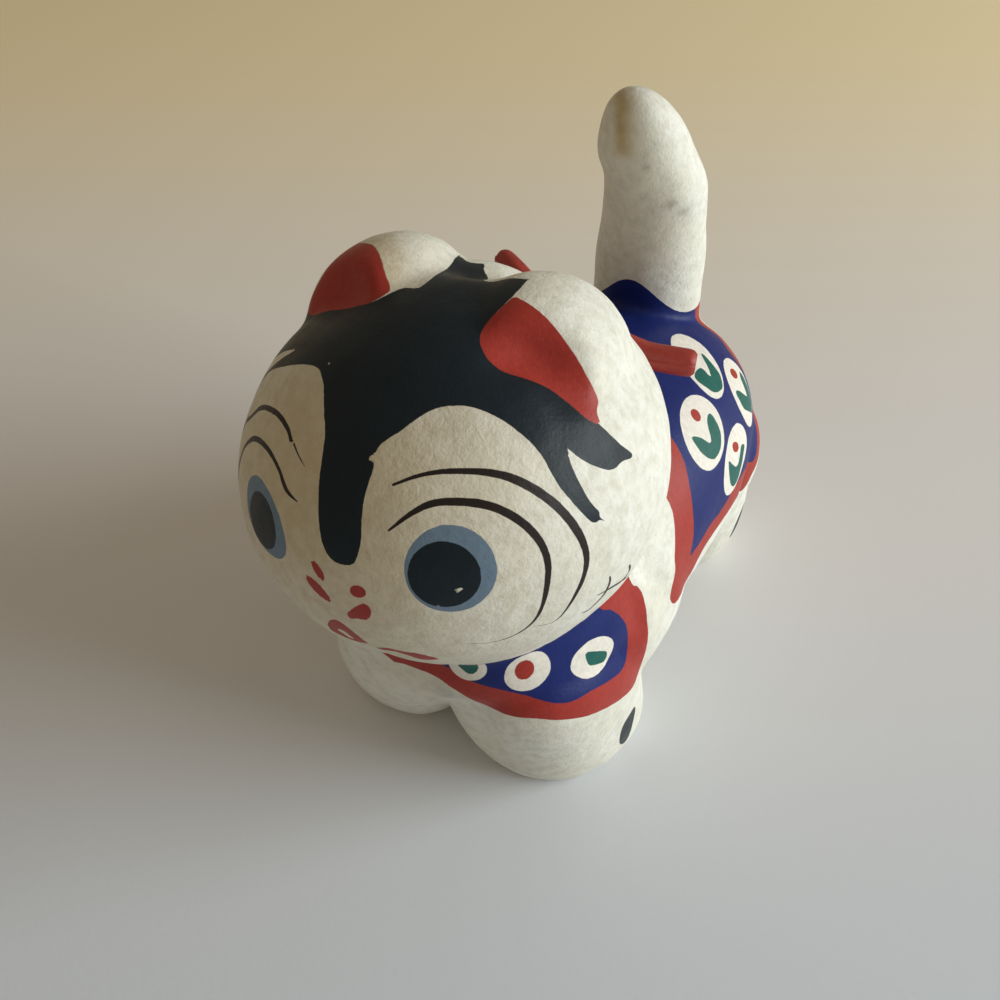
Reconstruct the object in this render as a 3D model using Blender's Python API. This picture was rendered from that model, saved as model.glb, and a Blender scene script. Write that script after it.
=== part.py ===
"""Papier-mache dog ornament in the manner of a Japanese inu-hariko.

A big round head sits tilted on a barrel body with four stub legs and an upright club
tail.  The figure is one shell under one coat, so it is one solid.  The rolled-paper
collar tie glued across the nape is a piece of its own.

The figure looks along -Y, its left side is +X, and it stands on Z = 0 with the middle
of its bounding box over the origin.  Sizes below are in millimetres and degrees.
"""
from math import pi, radians

import bmesh
import bpy
import numpy as np
from mathutils import Euler, Matrix, Vector

MM = 0.001                              # metres in a millimetre

# Head: an egg form, turned, nose up and tilted towards the figure's right.
HEAD_CENTRE = (-0.5, -24.5, 69.0)
HEAD_RADII = (37.3, 40.2, 33.9)
HEAD_TURN, HEAD_PITCH, HEAD_TILT = 6.2, -7.0, -4.8

# Ears, in the head's own frame: a lobe of the given radii with its front cut off flat.
LEFT_EAR = {"centre": (16.4, 2.0, 22.0), "radii": (14.9, 19.0, 11.5), "lean": 41.0,
            "face_point": (19.5, -9.2, 27.0), "face_normal": (0.46, -0.69, 0.56)}
RIGHT_EAR = {"centre": (-15.3, 4.5, 24.9), "radii": (13.4, 19.0, 11.6), "lean": -31.0,
             "face_point": (-17.0, -6.6, 29.0), "face_normal": (-0.40, -0.75, 0.53)}

# Body: its middle plane is a little to the left of the head's centre.
BODY_X = 1.9
TORSO_CENTRE = (BODY_X, 6.7, 39.8)
TORSO_HALF = (34.6, 57.8, 27.4)
TORSO_END_POWER = 2.9                   # 2 gives an egg-shaped end, more gives a blunter one
BREAST_LIFT = 10.0                      # how far the keel rises from the middle to the breast
# The flanks are full below the middle: how much, and where along and how far that reaches.
FLANK_FILL, FLANK_MIDDLE, FLANK_REACH = 1.9, 18.0, 26.0

# Each pair of legs: a stub and the lobe above it.  X is counted from the middle plane.
LEG_END_POWER, HIND_END_POWER = 3.5, 2.4
LOBE_END_POWER = 2.2
LEG_CORNER = 2.4                        # 2 gives an elliptical section, more gives a squarer one
# How far the left and the right front leg lean across and along for each step up.
LEG_LEAN = {1.0: (0.0, -0.32), -1.0: (0.32, -0.42)}
TOE_IN = 0.14                           # how far a front leg turns inward for each step forward
FRONT_STUB = {"centre": (18.3, -19.9, 16.6), "half": (16.6, 18.0, 25.0)}
SHOULDER = {"centre": (17.2, -9.0, 33.0), "half": (17.1, 22.0, 21.0)}
SHOULDER_SHIFT = 1.7                    # both shoulders sit this far to the left
HIND_STUB = {"centre": (17.8, 45.2, 18.0), "half": (13.8, 14.6, 24.0)}
HAUNCH = {"centre": (18.1, 45.6, 30.0), "half": (14.7, 15.8, 16.0)}

# Tail: a club that leans forward and to the right as it rises.
# Sections of the tail: height, middle across, half width. The kink is under the knob.
TAIL_SECTIONS = [(52.0, 0.0, 12.2), (66.0, 0.2, 12.4), (76.0, 0.5, 12.2), (84.0, 0.7, 11.3),
                 (90.0, 1.1, 10.9), (93.5, 0.9, 11.1), (97.0, 0.1, 10.8), (101.0, -0.7, 9.9),
                 (105.0, -1.0, 8.6), (108.5, -1.4, 6.9), (111.0, -1.7, 5.0), (112.6, -2.0, 2.9),
                 (113.15, -2.1, 0.5)]
TAIL_STEPS = 4                          # rings in each span of the sections
TAIL_FOOT = 52.0                        # where the tail starts, along the body and up
TAIL_LEAN = -11.5                       # how far forward it leans at its tip
TAIL_DEPTH = 0.89                       # its depth as a share of its width

# Collar tie: a roll of paper bent round the nape, both ends cut square.  Each point of its
# path is followed by the roll's radius there.
TIE_PATH = [(24.7, 21.4, 70.8, 2.95), (19.8, 19.8, 70.9, 2.95), (14.9, 18.7, 71.0, 2.9),
            (9.2, 18.0, 72.3, 2.8), (3.0, 17.55, 74.0, 2.7), (-4.1, 18.0, 76.1, 2.6),
            (-11.8, 19.0, 78.0, 2.5), (-15.9, 20.4, 79.3, 2.4), (-21.1, 23.2, 79.8, 2.3)]
TIE_STEPS = 4                           # tube rings in each span of the path

# Mesh finish.
RINGS, SEGMENTS = 40, 64
VOXEL = 1.5
SMOOTH_ROUNDS = 8
FIGURE_TRIANGLES = 6600
FLOOR_HALF = 120.0


def clear_scene():
    """Remove every object that is already there."""
    for item in list(bpy.data.objects):
        bpy.data.objects.remove(item, do_unlink=True)


def painted(name, colour, roughness):
    """A Principled material in one plain colour."""
    material = bpy.data.materials.new(name)
    material.use_nodes = True
    shader = material.node_tree.nodes["Principled BSDF"]
    shader.inputs["Base Color"].default_value = (*colour, 1.0)
    shader.inputs["Roughness"].default_value = roughness
    shader.inputs["Metallic"].default_value = 0.0
    return material


def new_object(name, bm, material):
    """Scale a mesh drawn in millimetres to metres and make it an object."""
    bmesh.ops.recalc_face_normals(bm, faces=bm.faces)
    bmesh.ops.scale(bm, vec=(MM, MM, MM), verts=bm.verts)
    mesh = bpy.data.meshes.new(name)
    bm.to_mesh(mesh)
    bm.free()
    mesh.materials.append(material)
    mesh.shade_smooth()
    item = bpy.data.objects.new(name, mesh)
    bpy.context.collection.objects.link(item)
    return item


def round_off(share, power):
    """Section size at a share (0 middle, 1 end) of the length of a blunt rounded form."""
    return max(0.0, 1.0 - abs(share) ** power) ** (1.0 / power)


def curve_through(points, steps):
    """Catmull-Rom curve: each span bends so that it leaves every point along its neighbours."""
    rows = np.array(points)
    rows = np.vstack([2 * rows[0] - rows[1], rows, 2 * rows[-1] - rows[-2]])
    share = np.linspace(0.0, 1.0, steps, endpoint=False)[:, None]
    spans = []
    for a, b, c, d in zip(rows, rows[1:], rows[2:], rows[3:]):
        spans.append(0.5 * (2 * b + (c - a) * share + (2 * a - 5 * b + 4 * c - d) * share ** 2
                            + (3 * b - a - 3 * c + d) * share ** 3))
    return np.vstack(spans + [rows[-2:-1]])


def skin_rings(bm, rings):
    """Join a row of equal rings into a tube and close each end with one face."""
    loops = [[bm.verts.new(point) for point in ring] for ring in rings]
    count = len(loops[0])
    for low, high in zip(loops, loops[1:]):
        for i in range(count):
            j = (i + 1) % count
            bm.faces.new((low[i], low[j], high[j], high[i]))
    bm.faces.new(loops[0])
    bm.faces.new(loops[-1])


def barrel(centre, half, axis, power, corner=2.0):
    """Rings of a round-ended barrel whose sections along one axis close at both ends.

    A corner power over 2 makes the sections squarer than an ellipse.
    """
    across = [i for i in range(3) if i != axis]
    turn = np.linspace(0.0, 2.0 * pi, SEGMENTS, endpoint=False)
    wide, deep = (np.sign(f(turn)) * np.abs(f(turn)) ** (2.0 / corner) for f in (np.cos, np.sin))
    rings = []
    for share in np.sin(np.linspace(-0.49 * pi, 0.49 * pi, RINGS)):
        size = round_off(share, power)
        ring = np.tile(np.array(centre), (SEGMENTS, 1))
        ring[:, axis] += half[axis] * share
        ring[:, across[0]] += half[across[0]] * size * wide
        ring[:, across[1]] += half[across[1]] * size * deep
        rings.append(ring)
    return np.array(rings)


def torso(bm):
    """The torso: a barrel along Y whose lower half is drawn up towards the breast.

    Its flanks are filled out below the middle.
    """
    rings = barrel(TORSO_CENTRE, TORSO_HALF, 1, TORSO_END_POWER)
    ahead = np.clip((TORSO_CENTRE[1] - rings[:, :, 1]) / TORSO_HALF[1], 0.0, 1.0)
    below = np.clip((TORSO_CENTRE[2] - rings[:, :, 2]) / TORSO_HALF[2], 0.0, 1.0)
    reach = np.exp(-((rings[:, :, 1] - FLANK_MIDDLE) / FLANK_REACH) ** 4)
    outward = np.sign(rings[:, :, 0] - BODY_X)
    rings[:, :, 0] += FLANK_FILL * outward * reach * np.sin(np.pi * below)
    rings[:, :, 2] += BREAST_LIFT * ahead ** 2 * below
    skin_rings(bm, rings)


def legs(bm, side):
    """The front and the hind leg of one side, each a stub under its lobe.

    The front stub leans forward as it rises and turns its toes inward.
    """
    for form, power, corner in ((FRONT_STUB, LEG_END_POWER, LEG_CORNER),
                                (SHOULDER, LOBE_END_POWER, LEG_CORNER),
                                (HIND_STUB, HIND_END_POWER, 2.0), (HAUNCH, LOBE_END_POWER, 2.0)):
        out, along, up = form["centre"]
        rings = barrel((BODY_X + side * out, along, up), form["half"], 2, power, corner)
        if form is SHOULDER:
            rings[:, :, 0] += SHOULDER_SHIFT
        if form is FRONT_STUB:
            rings[:, :, 0] += side * TOE_IN * (rings[:, :, 1] - along)
            rings[:, :, :2] += np.array(LEG_LEAN[side]) * np.maximum(rings[:, :, 2:], 0.0)
        skin_rings(bm, rings)


def tail(bm):
    """The tail, lofted through its sections and leaning by the square of the height."""
    turn = np.linspace(0.0, 2.0 * pi, SEGMENTS, endpoint=False)
    rings = []
    for height, across, half in curve_through(TAIL_SECTIONS, TAIL_STEPS):
        share = (height - TAIL_FOOT) / (TAIL_SECTIONS[-1][0] - TAIL_FOOT)
        ring = np.empty((SEGMENTS, 3))
        ring[:, 0] = across + half * np.cos(turn)
        ring[:, 1] = TAIL_FOOT + TAIL_LEAN * share ** 2 + TAIL_DEPTH * half * np.sin(turn)
        ring[:, 2] = height
        rings.append(ring)
    skin_rings(bm, rings)


def head_matrix():
    """Place of the head's own frame in the figure."""
    angles = (radians(HEAD_PITCH), radians(HEAD_TILT), radians(HEAD_TURN))
    turn = Euler(angles, "YXZ").to_matrix().to_4x4()
    return Matrix.Translation(HEAD_CENTRE) @ turn


def ball(bm, centre, radii, lean, place):
    """An egg form: a sphere scaled to its radii, leaned about Y and put in place."""
    shape = (place @ Matrix.Translation(centre) @ Matrix.Rotation(radians(lean), 4, "Y")
             @ Matrix.Diagonal((*radii, 1.0)))
    return bmesh.ops.create_uvsphere(bm, u_segments=SEGMENTS, v_segments=RINGS, radius=1.0,
                                     matrix=shape)["verts"]


def ear(bm, sizes, place):
    """An ear lobe in the head's frame, with the part in front of its face plane cut away."""
    lobe = bmesh.new()
    ball(lobe, sizes["centre"], sizes["radii"], sizes["lean"], place)
    normal = place.to_3x3() @ Vector(sizes["face_normal"])
    cut = bmesh.ops.bisect_plane(lobe, geom=lobe.verts[:] + lobe.edges[:] + lobe.faces[:],
                                 plane_co=place @ Vector(sizes["face_point"]),
                                 plane_no=normal, clear_outer=True)
    rim = [item for item in cut["geom_cut"] if isinstance(item, bmesh.types.BMEdge)]
    bmesh.ops.contextual_create(lobe, geom=rim)
    mesh = bpy.data.meshes.new("lobe")
    lobe.to_mesh(mesh)
    lobe.free()
    bm.from_mesh(mesh)
    bpy.data.meshes.remove(mesh)


def floor_cutter():
    """A wire block whose top is the ground plane; it takes the soles off flat."""
    bm = bmesh.new()
    bmesh.ops.create_cube(bm, size=2.0 * FLOOR_HALF,
                          matrix=Matrix.Translation((0.0, 0.0, -FLOOR_HALF)))
    cutter = new_object("floor_cutter", bm, painted("cutter", (0.5, 0.5, 0.5), 0.5))
    cutter.display_type = "WIRE"
    cutter.hide_render = True
    return cutter


def triangle_count(item):
    """Triangles in an object's evaluated mesh."""
    evaluated = item.evaluated_get(bpy.context.evaluated_depsgraph_get())
    return sum(len(face.vertices) - 2 for face in evaluated.data.polygons)


def make_figure():
    """Head, ears, body, legs and tail melted into one skin and cut flat under the feet."""
    bm = bmesh.new()
    place = head_matrix()
    ball(bm, (0.0, 0.0, 0.0), HEAD_RADII, 0.0, place)
    ear(bm, LEFT_EAR, place)
    ear(bm, RIGHT_EAR, place)
    torso(bm)
    for side in (-1.0, 1.0):
        legs(bm, side)
    tail(bm)
    figure = new_object("figure", bm, painted("gofun_paint", (0.80, 0.78, 0.70), 0.6))

    remesh = figure.modifiers.new("one_skin", "REMESH")
    remesh.mode = "VOXEL"
    remesh.voxel_size = VOXEL * MM
    remesh.use_smooth_shade = True
    smooth = figure.modifiers.new("soften", "SMOOTH")
    smooth.factor = 0.5
    smooth.iterations = SMOOTH_ROUNDS
    bpy.context.view_layer.update()
    thin = figure.modifiers.new("thin", "DECIMATE")
    thin.ratio = FIGURE_TRIANGLES / triangle_count(figure)
    soles = figure.modifiers.new("flat_soles", "BOOLEAN")
    soles.operation = "DIFFERENCE"
    soles.solver = "EXACT"
    soles.object = floor_cutter()
    return figure


def make_tie():
    """The collar tie: a bevelled curve with filled ends."""
    rows = curve_through(TIE_PATH, TIE_STEPS)
    curve = bpy.data.curves.new("collar_tie", "CURVE")
    curve.dimensions = "3D"
    curve.bevel_depth = MM
    curve.bevel_resolution = 3
    curve.use_fill_caps = True
    spline = curve.splines.new("POLY")
    spline.points.add(len(rows) - 1)
    for target, (across, along, up, radius) in zip(spline.points, rows):
        target.co = (across * MM, along * MM, up * MM, 1.0)
        target.radius = radius
    curve.materials.append(painted("tie_paint", (0.42, 0.06, 0.04), 0.5))
    item = bpy.data.objects.new("collar_tie", curve)
    bpy.context.collection.objects.link(item)
    return item


def main():
    clear_scene()
    make_figure()
    make_tie()


main()
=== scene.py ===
"""Papier-mache dog ornament: a painted paper shell and the rolled-paper tie on its nape.

The shell is modelled as its maker would form it: a head ball, two ears, a barrel body, stub
legs and a club tail, melted into one skin, then dented and wrinkled by hand.  Every painted
mark is drawn on a flat chart wrapped round the part that carries it, and is kept on the
mesh as a layer that says how far each spot lies inside the mark.

The figure looks along -Y, its left side is +X, and it stands on Z = 0.  Forms and charts
are in millimetres and degrees; meshes and settings are in metres.
"""

import itertools
from math import radians

import bpy
import numpy as np
from bpy.props import FloatProperty, FloatVectorProperty, IntProperty, PointerProperty
from mathutils import Euler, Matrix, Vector


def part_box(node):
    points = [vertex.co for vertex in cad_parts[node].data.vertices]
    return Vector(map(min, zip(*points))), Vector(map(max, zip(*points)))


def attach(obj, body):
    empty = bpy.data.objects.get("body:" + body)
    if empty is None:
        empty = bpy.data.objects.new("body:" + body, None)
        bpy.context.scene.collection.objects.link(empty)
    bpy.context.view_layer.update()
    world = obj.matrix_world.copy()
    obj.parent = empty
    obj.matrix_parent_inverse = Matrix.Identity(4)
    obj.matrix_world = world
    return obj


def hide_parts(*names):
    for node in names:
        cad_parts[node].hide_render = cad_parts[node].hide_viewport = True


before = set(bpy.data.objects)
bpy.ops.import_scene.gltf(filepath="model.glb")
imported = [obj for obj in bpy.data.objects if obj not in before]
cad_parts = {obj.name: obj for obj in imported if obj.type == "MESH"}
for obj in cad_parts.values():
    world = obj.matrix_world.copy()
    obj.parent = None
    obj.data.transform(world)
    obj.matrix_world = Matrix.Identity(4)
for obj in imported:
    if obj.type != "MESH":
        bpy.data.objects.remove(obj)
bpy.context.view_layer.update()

bl_info = {
    "name": "Papier-mache dog",
    "version": (1, 0, 0),
    "blender": (4, 5, 0),
    "location": "View3D > Sidebar > Paper dog",
    "description": "Makes the painted shell, the collar tie and the stage",
    "category": "Add Mesh",
}

MM = 0.001                              # metres in a millimetre

# Head: an egg form, turned, nose up and tilted towards the figure's right.
HEAD_CENTRE = (-0.5, -24.5, 69.0)
HEAD_RADII = (37.3, 40.2, 33.9)
HEAD_TURN, HEAD_PITCH, HEAD_TILT = 6.2, -7.0, -4.8
HEAD_SPAN = 37.0                        # the head's mean radius, used by its charts

# Ears, in the head's own frame: a lobe whose front is pressed flat against a plane.  The
# chart of its red is in the figure's frame.
LEFT_EAR = {"centre": (16.4, 2.0, 22.0), "radii": (14.9, 19.0, 11.5), "lean": 41.0,
            "face_point": (19.5, -9.2, 27.0), "face_normal": (0.46, -0.69, 0.56),
            "red_middle": (17.2, -28.3, 98.4), "red_normal": (0.47, -0.56, 0.68)}
RIGHT_EAR = {"centre": (-15.3, 4.5, 24.9), "radii": (13.4, 19.0, 11.6), "lean": -31.0,
             "face_point": (-17.0, -6.6, 29.0), "face_normal": (-0.40, -0.75, 0.53),
             "red_middle": (-19.4, -29.8, 97.1), "red_normal": (-0.37, -0.73, 0.58)}

# Body: its middle plane is a little to the left of the head's centre.
BODY_X = 1.9
TORSO_CENTRE = (BODY_X, 6.7, 39.8)
TORSO_HALF = (34.6, 57.8, 27.4)
TORSO_END_POWER = 2.9                   # 2 gives an egg-shaped end, more gives a blunter one
BREAST_LIFT = 10.0                      # how far the keel rises from the middle to the breast
# The flanks are full below the middle: how much, and where along and how far that reaches.
FLANK_FILL, FLANK_MIDDLE, FLANK_REACH = 1.9, 18.0, 26.0

# Each pair of legs: a stub and the lobe above it.  X is counted from the middle plane.
LEG_END_POWER, HIND_END_POWER = 3.5, 2.4
LOBE_END_POWER = 2.2
LEG_CORNER = 2.4                        # 2 gives an elliptical section, more gives a squarer one
# How far the left and the right front leg lean across and along for each step up.
LEG_LEAN = {1.0: (0.0, -0.32), -1.0: (0.32, -0.42)}
TOE_IN = 0.14                           # how far a front leg turns inward for each step forward
FRONT_STUB = {"centre": (18.3, -19.9, 16.6), "half": (16.6, 18.0, 25.0)}
SHOULDER = {"centre": (17.2, -9.0, 33.0), "half": (17.1, 22.0, 21.0)}
SHOULDER_SHIFT = 1.7                    # both shoulders sit this far to the left
HIND_STUB = {"centre": (17.8, 45.2, 18.0), "half": (13.8, 14.6, 24.0)}
HAUNCH = {"centre": (18.1, 45.6, 30.0), "half": (14.7, 15.8, 16.0)}

# Tail: a club that leans forward and to the right as it rises.  Its sections are height,
# middle across and half width, and the kink is under the knob.
TAIL_SECTIONS = [(52.0, 0.0, 12.2), (66.0, 0.2, 12.4), (76.0, 0.5, 12.2), (84.0, 0.7, 11.3),
                 (90.0, 1.1, 10.9), (93.5, 0.9, 11.1), (97.0, 0.1, 10.8), (101.0, -0.7, 9.9),
                 (105.0, -1.0, 8.6), (108.5, -1.4, 6.9), (111.0, -1.7, 5.0), (112.6, -2.0, 2.9),
                 (113.15, -2.1, 0.5)]
TAIL_FOOT = 52.0                        # where the tail starts, along the body and up
TAIL_LEAN = -11.5                       # where its tip lies along the body, from its foot
TAIL_DEPTH = 0.89                       # its depth as a share of its width

# Collar tie: a roll of paper bent round the nape, both ends cut square.  Each point of its
# path is followed by the roll's radius there.
TIE_PATH = [(24.7, 21.4, 70.8, 2.95), (19.8, 19.8, 70.9, 2.95), (14.9, 18.7, 71.0, 2.9),
            (9.2, 18.0, 72.3, 2.8), (3.0, 17.55, 74.0, 2.7), (-4.1, 18.0, 76.1, 2.6),
            (-11.8, 19.0, 78.0, 2.5), (-15.9, 20.4, 79.3, 2.4), (-21.1, 23.2, 79.8, 2.3)]
TIE_SEGMENTS = 72                       # points round the roll
END_RINGS = 14                          # rings over each cut end
END_FROM, END_TO = 0.06, 0.96           # shares of the radius that those rings run between
END_WEAR, END_WEAR_REACH = 0.3, 0.5     # share worn off at an end, and how far in that fades
END_INSET = 0.25                        # how far an end's face lies inside its rim
RIM_FADE = 6.0                          # the spiral fades out over the outer sixth of the radius
ROLL_FLATS, FLAT_DEPTH = 5.0, 0.02      # soft flats round the roll, and their share of its radius
FLAT_TWIST = 40.0                       # rings over which each flat moves on to the next one's place
SEAM = 0.45                             # where the sheet's free edge lies, as a share of a turn
TIE_CREASE = 50.0                       # edges sharper than this are shaded as edges

RINGS, SEGMENTS = 60, 96                # grid of each form before the melt
POLE = 0.49 * np.pi                     # the forms' grids stop just short of their poles
BOX_GAP = 0.05                          # how far the shell keeps inside the frame's box
FAR = 3.0                               # layers are cut off this far from a mark's edge
SOLE_REACH = 0.3                        # skin closer than this to the ground is the flat sole
LUMP_SIZES, RIPPLE_SIZES = (17.0, 9.0), (4.2, 2.1)      # broad and fine ones of each

# Charts of the body: mean radii of the back and of the chest, and the chest's upright axis.
BACK_RADIUS, CHEST_RADIUS, CHEST_AXIS_Y = 31.0, 33.0, -15.0
OFF_CHART = 90.0                        # a level that no mark on the body reaches
APRON_END = 12.0                        # the apron's chart holds up to here along the body
# Face marks and the crown patch lie no further than this over the head's egg form, and the
# body's paint starts this far off it.
FACE_RISE, CROWN_RISE, NECK_GAP = 6.0, 9.0, 0.45
# Longitude and latitude of the middles of the head's charts.  The right eye's is mirrored.
CROWN_MIDDLE, FACE_MIDDLE, CHEEK_MIDDLE = (0.0, 55.0), (0.0, -10.0), (60.0, -10.0)
EYE_LONGITUDE, EYE_LATITUDE = 25.3, 7.6
EAR_REACH = 4.5                         # how far off its plane an ear's red still lies
DROP_OUT = 24.0                         # the legs' drops lie beyond this from the middle plane
GREEN_MARGIN = 0.3                      # white left between a green mark and its medallion's edge
STROKE_SIDE = 1.4                       # a brush stroke's layer ends this far to its side
BRUSH_SOFTNESS = 0.07                   # half the width over which an edge of paint fades
# The cloth's upper edge: its height, the rise at the tail, where across and how wide that is,
# and how far over the barrel the cloth still lies.
EDGE_HEIGHT, EDGE_CREST, EDGE_X, EDGE_WIDTH, CLOTH_RISE = 61.0, 12.0, 1.3, 9.0, 0.9
BARREL_SPAN = 30.0                      # the barrel's mean radius, used by that edge

# Stage, in metres.
WINDOW_PLACE, WINDOW_AIM, WINDOW_SIZE = (1.28, 0.58, 0.50), (0.0, 0.0, 0.05), (1.1, 0.8)
WINDOW_COLOUR, ROOM_COLOUR = (0.92, 0.98, 1.0), (1.0, 0.85, 0.64, 1.0)
CAMERA_PLACE, CAMERA_VIEW = (0.08006, -0.14064, 0.18998), (-0.3854, 0.6216, -0.682)
# Depths, away from the camera, between which the floor turns to its far and near colours.
FAR_SPAN, NEAR_SPAN = (0.03, 0.4), (0.05, -0.1)

# Marks of age, and one blot that is partly painted shade: a path or a middle, how far it spreads,
# and its strength.
WARM_STAINS = [
    ([(-4.6, 38.4, 112.1), (-2.9, 37, 110.5), (-2, 36.2, 106), (-1.3, 36.2, 103.4)], 1.7, 1.1),
    ([(-20, -18.6, 104.1), (-15.1, -21.7, 104.5), (-11.7, -24.8, 103.4)], 3.4, 0.6),
]
GREY_SMUDGES = [
    ((3.4, 36.7, 100.2), 0.9, 0.8), ((8.2, 39.6, 92.6), 1.1, 0.8), ((10, 42, 90.2), 1.2, 0.7),
    ((-2.4, 36.1, 107), 0.9, 0.4), ((-1.4, 40.3, 67.6), 1.2, 0.8),
]
BLUE_SMUDGES = [((12.8, -50.2, 37.5), 3.0, 0.8)]
# Yellowed coat and warm painted shade together, on the upper front of the face where it lies in
# shade.
PATINA_AND_SHADE = [((-6, -58, 82), 32.0, 1.0)]

# Hollows and creases pressed into the skin: path, width and depth.
DENTS = [
    ([(2.0, -61.0, 58.5), (5.0, -60.0, 54.5), (8.0, -57.0, 50.0), (10.0, -53.0, 46.0)], 4.8, 0.9),
    ([(-3.5, -13.0, 101.0), (0.3, -5.5, 99.0), (1.6, 2.0, 94.0), (1.5, 8.0, 88.0)], 5.0, 2.3),
    ([(14.4, -33.9, 103.0), (17.2, -29.5, 98.6), (21.0, -30.0, 93.5)], 3.6, 1.3),
    ([(-21.0, -30.5, 99.5), (-17.5, -31.5, 95.5)], 5.0, 0.7),
    ([(-7.2, 47.5, 92.0), (-7.2, 38.6, 96.3), (-8.5, 33.0, 98.5)], 2.6, 1.0),
    ([(23.0, -37.5, 15.6), (20.0, -38.5, 12.0), (16.0, -37.0, 9.4)], 3.4, 1.0),
    ([(15.5, -49.0, 33.0), (17.8, -46.0, 26.0), (17.0, -42.0, 20.0)], 4.0, 0.9),
    ([(34.5, -13.5, 51.0), (35.4, -12.0, 44.0), (36.0, -9.0, 37.0)], 3.2, 0.9),
    ([(35.0, -20.0, 47.0), (35.8, -19.0, 40.0)], 2.6, 0.6),
]


# ---------------------------------------------------------------- shared arithmetic

def curve_through(points, steps, closed=False):
    """Catmull-Rom curve: every span leaves a point along the line between its neighbours.

    A point that is given twice makes a corner.
    """
    rows = np.array(points, float)
    if closed:
        rows = np.vstack([rows[-1:], rows, rows[:2]])
    else:
        rows = np.vstack([2 * rows[0] - rows[1], rows, 2 * rows[-1] - rows[-2]])
    share = np.linspace(0.0, 1.0, steps, endpoint=False)[:, None]
    spans = []
    for a, b, c, d in zip(rows, rows[1:], rows[2:], rows[3:]):
        spans.append(0.5 * (2 * b + (c - a) * share + (2 * a - 5 * b + 4 * c - d) * share ** 2
                            + (3 * b - a - 3 * c + d) * share ** 3))
    return np.vstack(spans if closed else spans + [rows[-2:-1]])


def lumps(places, size, seed):
    """Smooth random heights from -1 to 1, one value per cell corner, blended across the cell.

    Each corner's value is its whole-number place scrambled by multiplying and shifting.
    """
    cells = places / size
    corner = np.floor(cells).astype(np.int64)
    share = cells - corner
    share = share * share * (3.0 - 2.0 * share)
    total = np.zeros(len(places))
    for step in itertools.product((0, 1), repeat=3):
        key = (corner + step) @ np.array((73856093, 19349663, 83492791)) + seed * 83791
        key = ((key ^ (key >> 13)) * 1274126177) & 0xFFFFFFFF
        key = ((key ^ (key >> 16)) * 668265263) & 0xFFFFFFFF
        height = ((key >> 8) & 0xFFFF) / 32767.5 - 1.0
        weight = np.prod(np.where(step, share, 1.0 - share), axis=1)
        total += height * weight
    return total


def line_distance(places, line):
    """Distance from each place to an open line of points, in any number of dimensions."""
    nearest = np.full(len(places), np.inf)
    for start, end in zip(line, line[1:]):
        run = end - start
        share = np.clip((places - start) @ run / max(run @ run, 1e-12), 0.0, 1.0)[:, None]
        nearest = np.minimum(nearest, np.linalg.norm(places - start - share * run, axis=1))
    return nearest


def faded(distance, reach):
    """1 at no distance, and exp(-(distance / reach)^2) beyond."""
    return np.exp(-(distance / reach) ** 2)


# ---------------------------------------------------------------- the forms

def round_off(share, power):
    """Section size at a share of the length, 0 middle to 1 end: (1 - share^power)^(1/power)."""
    return np.maximum(0.0, 1.0 - np.abs(share) ** power) ** (1.0 / power)


def barrel(centre, half, axis, power, corner=2.0):
    """Round-ended barrel on a grid of turn and share of its length.

    Across its axis it is an ellipse, or a squarer oval where the corner power is over 2,
    and the size of that section at each share is round_off of the share.
    """
    turn = np.linspace(0.0, 2.0 * np.pi, SEGMENTS, endpoint=False)
    wide, deep = (np.sign(f(turn)) * np.abs(f(turn)) ** (2.0 / corner) for f in (np.cos, np.sin))
    share = np.sin(np.linspace(-POLE, POLE, RINGS))[:, None]
    size = round_off(share, power)
    first, second = [i for i in range(3) if i != axis]
    rings = np.empty((RINGS, SEGMENTS, 3))
    rings[:, :, axis] = centre[axis] + half[axis] * share
    rings[:, :, first] = centre[first] + half[first] * size * wide
    rings[:, :, second] = centre[second] + half[second] * size * deep
    rings[:, :, 2] = np.maximum(rings[:, :, 2], 0.0)
    return rings


def leg_forms(side):
    """The stub and the lobe of the front and the hind leg on one side.

    The front stub leans forward as it rises and turns its toes inward.
    """
    forms = []
    for form, power, corner in ((FRONT_STUB, LEG_END_POWER, LEG_CORNER),
                                (SHOULDER, LOBE_END_POWER, LEG_CORNER),
                                (HIND_STUB, HIND_END_POWER, 2.0), (HAUNCH, LOBE_END_POWER, 2.0)):
        out, along, up = form["centre"]
        rings = barrel((BODY_X + side * out, along, up), form["half"], 2, power, corner)
        if form is SHOULDER:
            rings[:, :, 0] += SHOULDER_SHIFT
        if form is FRONT_STUB:
            rings[:, :, 0] += side * TOE_IN * (rings[:, :, 1] - along)
            rings[:, :, :2] += np.array(LEG_LEAN[side]) * rings[:, :, 2:]
        forms.append(rings)
    return forms


def torso_form():
    """Torso: a barrel along Y whose lower half is drawn up towards the breast.

    The lift grows by the square of the way from the middle to the front end.  The flanks
    are filled out by FLANK_FILL sin(pi below) exp(-((y - FLANK_MIDDLE) / FLANK_REACH)^4).
    """
    rings = barrel(TORSO_CENTRE, TORSO_HALF, 1, TORSO_END_POWER)
    ahead = np.clip((TORSO_CENTRE[1] - rings[:, :, 1]) / TORSO_HALF[1], 0.0, 1.0)
    below = np.clip((TORSO_CENTRE[2] - rings[:, :, 2]) / TORSO_HALF[2], 0.0, 1.0)
    reach = np.exp(-((rings[:, :, 1] - FLANK_MIDDLE) / FLANK_REACH) ** 4)
    outward = np.sign(rings[:, :, 0] - BODY_X)
    rings[:, :, 0] += FLANK_FILL * outward * reach * np.sin(np.pi * below)
    rings[:, :, 2] += BREAST_LIFT * ahead ** 2 * below
    return rings


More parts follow.
